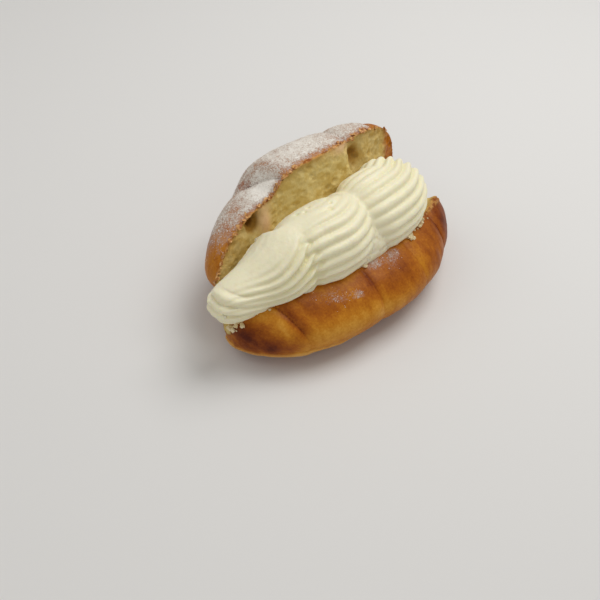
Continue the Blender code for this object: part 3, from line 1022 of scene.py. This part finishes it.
def make_loose_bits(bread):
    dusted = clip(bread.sugar, 0, 1) ** GRAIN_POWER
    material = new_material("sugar_grains", GRAIN_SHADER)[0]
    scattered("sugar_grains", bread, dusted, material, "icing_sugar", **SUGAR_GRAINS)

    on_base = bread.base & bread.crust
    near_rim = bell(bread.edge, *CRUMB_RIM) * bread.half * (bread.up > CRUMB_UP)
    along_rim = sum(strength * bell(bread.x, place, width) for place, width, strength in RIM_CRUMBS) * on_base
    crumbs = patches(bread.x, bread.edge, (TIP_CRUMBS,)) * on_base + near_rim * along_rim
    material = mottled_material("torn_crumbs", BIT_CLOUDS, CRUMB_BIT_DARK, CRUMB_BIT_LIGHT, CRUMB_BIT_SHADER)
    scattered("torn_crumbs", bread, crumbs, material, "crumb", **TORN_CRUMBS)

    flaky = bell(bread.edge, *FLAKE_RIM) * (bread.lid & bread.crust) * (bread.x < FLAKE_RIGHT)
    material = mottled_material("crust_flakes", FLAKE_CLOUDS, FLAKE_DARK, FLAKE_LIGHT, FLAKE_SHADER)
    scattered("crust_flakes", bread, flaky, material, "baked_crust", **CRUST_FLAKES)


# Materials

def add_node(tree, kind, inputs=None, **settings):
    """A node of the kind, with its settings and its inputs, each a value or another node's output."""
    node = tree.nodes.new("ShaderNode" + kind)
    for name, value in settings.items():
        setattr(node, name, value)
    for name, value in (inputs or {}).items():
        if isinstance(value, bpy.types.NodeSocket):
            tree.links.new(value, node.inputs[name])
        else:
            node.inputs[name].default_value = value
    return node


def field(tree, name):
    return add_node(tree, "Attribute", attribute_name=name).outputs["Fac"]


def speckle(tree, size, detail, roughness):
    """Noise from 0 to 1 whose lumps are about the size in millimetres."""
    place = add_node(tree, "TexCoord").outputs["Object"]
    inputs = {"Vector": place, "Scale": 1 / (size * MM), "Detail": detail, "Roughness": roughness}
    return add_node(tree, "TexNoise", inputs).outputs["Fac"]


def maths(tree, operation, first, second):
    return add_node(tree, "Math", {0: first, 1: second}, operation=operation).outputs[0]


def plus(tree, first, second):
    return maths(tree, "ADD", first, second)


def minus(tree, first, second):
    return maths(tree, "SUBTRACT", first, second)


def times(tree, first, second):
    return maths(tree, "MULTIPLY", first, second)


def scaled(tree, size, detail, roughness, strength):
    return times(tree, speckle(tree, size, detail, roughness), strength)


def centred(tree, size, detail, roughness, strength):
    """Noise about 0."""
    return times(tree, minus(tree, speckle(tree, size, detail, roughness), 0.5), strength)


def mottled(tree, size, detail, roughness, low, high, first, second):
    """Two colours that pass into each other where the noise is between low and high."""
    return blended(tree, step_between(tree, speckle(tree, size, detail, roughness), low, high), first, second)


def step_between(tree, value, low, high):
    """0 below low and 1 above high, smooth between them."""
    inputs = {"Value": value, "From Min": low, "From Max": high}
    return add_node(tree, "MapRange", inputs, interpolation_type="SMOOTHSTEP").outputs["Result"]


def blended(tree, share, first, second):
    """The first colour where share is 0 and the second where it is 1."""
    inputs = {0: share}
    for number, colour in ((6, first), (7, second)):
        inputs[number] = colour if isinstance(colour, bpy.types.NodeSocket) else (*colour, 1.0)
    return add_node(tree, "Mix", inputs, data_type="RGBA").outputs[2]


def colour_ramp(tree, value, stops):
    """A colour between the stops, each a place from 0 to 1 and a colour."""
    node = add_node(tree, "ValToRGB", {"Fac": value})
    elements = node.color_ramp.elements
    while len(elements) < len(stops):
        elements.new(0.5)
    for element, (place, colour) in zip(elements, stops):
        element.position = place
        element.color = (*colour, 1.0)
    return node.outputs["Color"]


def new_material(name, inputs):
    """A material, its tree and its main shader with the inputs given."""
    material = bpy.data.materials.new(name)
    material.use_nodes = True
    shader = material.node_tree.nodes["Principled BSDF"]
    for key, value in inputs.items():
        shader.inputs[key].default_value = value
    return material, material.node_tree, shader


# Noise in the materials: size in millimetres, detail and roughness, then its strength, or the stretch of it
# in which one colour passes into the other.
CRUST_CLOUDS = (4.0, 3.0, 0.6, 0.34)
CRUST_SPECKLES = (1.0, 4.0, 0.7, 0.36)
CRUMB_CLOUDS = (4.0, 5.0, 0.6, 0.35, 0.65)
RIM_FLAKES = (2.6, 4.0, 0.6, 0.42, 0.58)
DUST_GRAINS = (0.8, 3.0, 0.7, 1.5)
DUST_DRIFTS = (4.0, 2.0, 0.6, 0.7)
CRUMB_PITS = (1.2, 6.0, 0.7, 0.9)
CRUST_PITS = (1.6, 5.0, 0.6, 0.16)
CREAM_BUBBLES = (1.5, 4.0, 0.6)
CREAM_SWELLS = (6.0, 3.0, 0.6, 0.5)
BIT_CLOUDS = (2.0, 3.0, 0.6, 0.35, 0.65)
FLAKE_CLOUDS = (1.5, 3.0, 0.6, 0.38, 0.62)

# Colours of the crust from the palest to the darkest, for its browning with the painted shade and highlights;
# all are kept almost free of blue, which also paints in warm light reflected from below.
CRUST_COLOURS = (
    (0.00, (0.72, 0.36, 0.050)),
    (0.28, (0.54, 0.205, 0.014)),
    (0.50, (0.38, 0.108, 0.006)),
    (0.75, (0.21, 0.042, 0.002)),
    (1.00, (0.09, 0.011, 0.001)),
)
CRUMB_LIGHT = (0.76, 0.61, 0.26)
CRUMB_DARK = (0.64, 0.46, 0.14)
# Toasted crumb, also used as painted shade in the hollows.
CRUMB_TOASTED_AND_SHADED = (0.44, 0.22, 0.045)
LUMP_COLOUR = (0.84, 0.56, 0.31)
# Painted shade and painted shadow in the hollows of the torn crumb.
HOLLOW_SHADE_COLOUR = (0.35, 0.18, 0.030)
HOLLOW_SHADOW_COLOUR = (0.17, 0.070, 0.010)
RIM_DARK = (0.24, 0.055, 0.006)
RIM_LIGHT = (0.66, 0.34, 0.10)
LIP_COLOUR = (0.68, 0.40, 0.14)
SUGAR_COLOUR = (0.72, 0.66, 0.58)
SUGAR_HEAVY = (0.86, 0.82, 0.75)
SUGAR_THIN = (0.50, 0.38, 0.34)
CREAM_COLOUR = (0.90, 0.84, 0.60)
# Painted shade in the cream's grooves, seams and pits.
CREAM_GROOVE_SHADE = (0.83, 0.78, 0.44)
CRUMB_BIT_LIGHT = (0.82, 0.72, 0.48)
CRUMB_BIT_DARK = (0.72, 0.56, 0.30)
FLAKE_LIGHT = (0.74, 0.42, 0.14)
FLAKE_DARK = (0.36, 0.11, 0.016)

# How much a colour covers the one below it, and the depths at which the painted shade and the painted shadow
# of the hollows set in.
LIP_COVER = 0.85
TOASTED_AND_SHADED_COVER = 0.7
RIM_COVER = 0.8
HOLLOW_SHADE = (0.2, 0.9)
HOLLOW_SHADOW_DEPTHS = (1.1, 1.7)

# Sugar: the least that shows, and the stretches of thin, thick and heavy dust and what they cover.
DUST_SHOWN = (0.02, 0.2)
THIN_DUST = (0.05, 0.40)
THIN_COVER = 0.55
THICK_DUST = (0.34, 0.70)
THICK_COVER = 0.96
THICK_HEIGHT = 0.25
HEAVY_DUST = (0.65, 1.0)

# Shine and bumps, whose distances are in metres.
BREAD_SHADER = {"Specular IOR Level": 0.14}
CRUST_ROUGHNESS = 0.42
CRUMB_ROUGHNESS = 0.95
BREAD_BUMP = {"Distance": 0.0007, "Strength": 0.8}
CREAM_SHADER = {"Roughness": 0.45, "Subsurface Weight": 0.35, "Subsurface Radius": (1.0, 0.8, 0.45),
                "Subsurface Scale": 0.003}
CREAM_BUMP = {"Distance": 0.0003, "Strength": 0.5}
GRAIN_SHADER = {"Base Color": (0.84, 0.80, 0.74, 1.0), "Roughness": 0.9}
CRUMB_BIT_SHADER = {"Roughness": 0.95}
FLAKE_SHADER = {"Roughness": 0.5}


def crust_colour(tree):
    brown = plus(tree, field(tree, "browning"), centred(tree, *CRUST_CLOUDS))
    crust = colour_ramp(tree, plus(tree, brown, centred(tree, *CRUST_SPECKLES)), CRUST_COLOURS)
    return blended(tree, times(tree, field(tree, "lip"), LIP_COVER), crust, LIP_COLOUR)


def crumb_colour(tree):
    crumb = mottled(tree, *CRUMB_CLOUDS, CRUMB_DARK, CRUMB_LIGHT)
    # Toasted colour near the crust, which also paints shade into the hollows.
    crumb = blended(tree, times(tree, field(tree, "toasted"), TOASTED_AND_SHADED_COVER), crumb, CRUMB_TOASTED_AND_SHADED)
    crumb = blended(tree, field(tree, "lump"), crumb, LUMP_COLOUR)
    # Painted shade in the hollows, and painted shadow in the deepest.
    crumb = blended(tree, step_between(tree, field(tree, "hollow"), *HOLLOW_SHADE), crumb, HOLLOW_SHADE_COLOUR)
    return blended(tree, step_between(tree, field(tree, "hollow"), *HOLLOW_SHADOW_DEPTHS), crumb, HOLLOW_SHADOW_COLOUR)


def bread_material():
    material, tree, shader = new_material("baked_bread", BREAD_SHADER)
    bread = blended(tree, field(tree, "crumb"), crust_colour(tree), crumb_colour(tree))
    flaked = mottled(tree, *RIM_FLAKES, RIM_DARK, RIM_LIGHT)
    bread = blended(tree, times(tree, field(tree, "rim"), RIM_COVER), bread, flaked)

    uneven = plus(tree, centred(tree, *DUST_GRAINS), centred(tree, *DUST_DRIFTS))
    dust = plus(tree, field(tree, "sugar"), uneven)
    dust = times(tree, dust, step_between(tree, field(tree, "sugar"), *DUST_SHOWN))
    thin = times(tree, step_between(tree, dust, *THIN_DUST), THIN_COVER)
    thick = times(tree, step_between(tree, dust, *THICK_DUST), THICK_COVER)
    colour = blended(tree, thin, bread, SUGAR_THIN)
    colour = blended(tree, thick, colour, SUGAR_COLOUR)
    colour = blended(tree, step_between(tree, dust, *HEAVY_DUST), colour, SUGAR_HEAVY)
    tree.links.new(colour, shader.inputs["Base Color"])

    dull = maths(tree, "MAXIMUM", field(tree, "crumb"), maths(tree, "MAXIMUM", thick, thin))
    roughness = {"Value": dull, "To Min": CRUST_ROUGHNESS, "To Max": CRUMB_ROUGHNESS}
    tree.links.new(add_node(tree, "MapRange", roughness).outputs["Result"], shader.inputs["Roughness"])
    pitted = times(tree, scaled(tree, *CRUMB_PITS), field(tree, "crumb"))
    height = plus(tree, pitted, times(tree, thick, THICK_HEIGHT))
    height = plus(tree, height, scaled(tree, *CRUST_PITS))
    bump = add_node(tree, "Bump", {"Height": height, **BREAD_BUMP})
    tree.links.new(bump.outputs["Normal"], shader.inputs["Normal"])
    return material


def cream_material():
    material, tree, shader = new_material("whipped_cream", CREAM_SHADER)
    # Painted shade in the grooves, seams and pits of the cream.
    colour = blended(tree, field(tree, "groove"), CREAM_COLOUR, CREAM_GROOVE_SHADE)
    tree.links.new(colour, shader.inputs["Base Color"])
    height = plus(tree, speckle(tree, *CREAM_BUBBLES), scaled(tree, *CREAM_SWELLS))
    bump = add_node(tree, "Bump", {"Height": height, **CREAM_BUMP})
    tree.links.new(bump.outputs["Normal"], shader.inputs["Normal"])
    return material


def mottled_material(name, noise, dark, light, inputs):
    material, tree, shader = new_material(name, inputs)
    tree.links.new(mottled(tree, *noise, dark, light), shader.inputs["Base Color"])
    return material


# Stage

FLOOR_SIZE = 4.0
FLOOR_SHADER = {"Base Color": (0.76, 0.75, 0.73, 1.0), "Roughness": 0.9}
WORLD_COLOUR = (1.0, 0.98, 0.95)
WORLD_STRENGTH = 0.34
# Lights that face the origin: name, place and side in metres, and power in watts.
LIGHTS = (
    ("key", (0.38, 0.0, 0.76), 0.55, 4.2),
    ("fill", (-0.55, -0.60, 0.55), 0.70, 0.8),
    ("rear", (-0.45, 0.35, 0.70), 0.60, 0.8),
)


def make_floor():
    half = FLOOR_SIZE / 2
    mesh = bpy.data.meshes.new("floor")
    corners = [(-half, -half, 0), (half, -half, 0), (half, half, 0), (-half, half, 0)]
    mesh.from_pydata(corners, [], [(0, 1, 2, 3)])
    mesh.materials.append(new_material("floor", FLOOR_SHADER)[0])
    placed("floor", mesh)


def make_lights():
    for name, place, size, power in LIGHTS:
        light = bpy.data.lights.new(name, "AREA")
        light.size = size
        light.energy = power
        obj = placed(name, light)
        obj.location = place
        obj.rotation_euler = (-Vector(place)).to_track_quat("-Z", "Y").to_euler()
    world = bpy.data.worlds.new("studio")
    world.use_nodes = True
    background = world.node_tree.nodes["Background"]
    background.inputs["Color"].default_value = (*WORLD_COLOUR, 1.0)
    background.inputs["Strength"].default_value = WORLD_STRENGTH
    bpy.context.scene.world = world
    bpy.context.scene.view_settings.view_transform = "Standard"


def make_camera():
    """The camera, turned by its azimuth, its elevation and its roll round its own axis."""
    azimuth, elevation, roll = (radians(v) for v in (CAMERA_AZIMUTH, CAMERA_ELEVATION, CAMERA_ROLL))
    back = np.array([sin(azimuth) * cos(elevation), -cos(azimuth) * cos(elevation), sin(elevation)])
    level = np.array([-sin(azimuth) * sin(elevation), cos(azimuth) * sin(elevation), cos(elevation)])
    side = np.cross(level, back)
    up = level * cos(roll) + side * sin(roll)
    right = np.cross(up, back)
    camera = bpy.data.cameras.new("camera")
    camera.angle = radians(CAMERA_VIEW)
    camera.clip_start = CAMERA_NEAR
    obj = placed("camera", camera)
    axes = Matrix(np.stack([right, up, back], -1).tolist()).to_4x4()
    obj.matrix_world = Matrix.Translation([v * MM for v in CAMERA_PLACE]) @ axes
    bpy.context.scene.camera = obj


make_camera()
make_lights()
make_floor()
make_loose_bits(make_bread(bread_material()))
make_cream(cream_material())
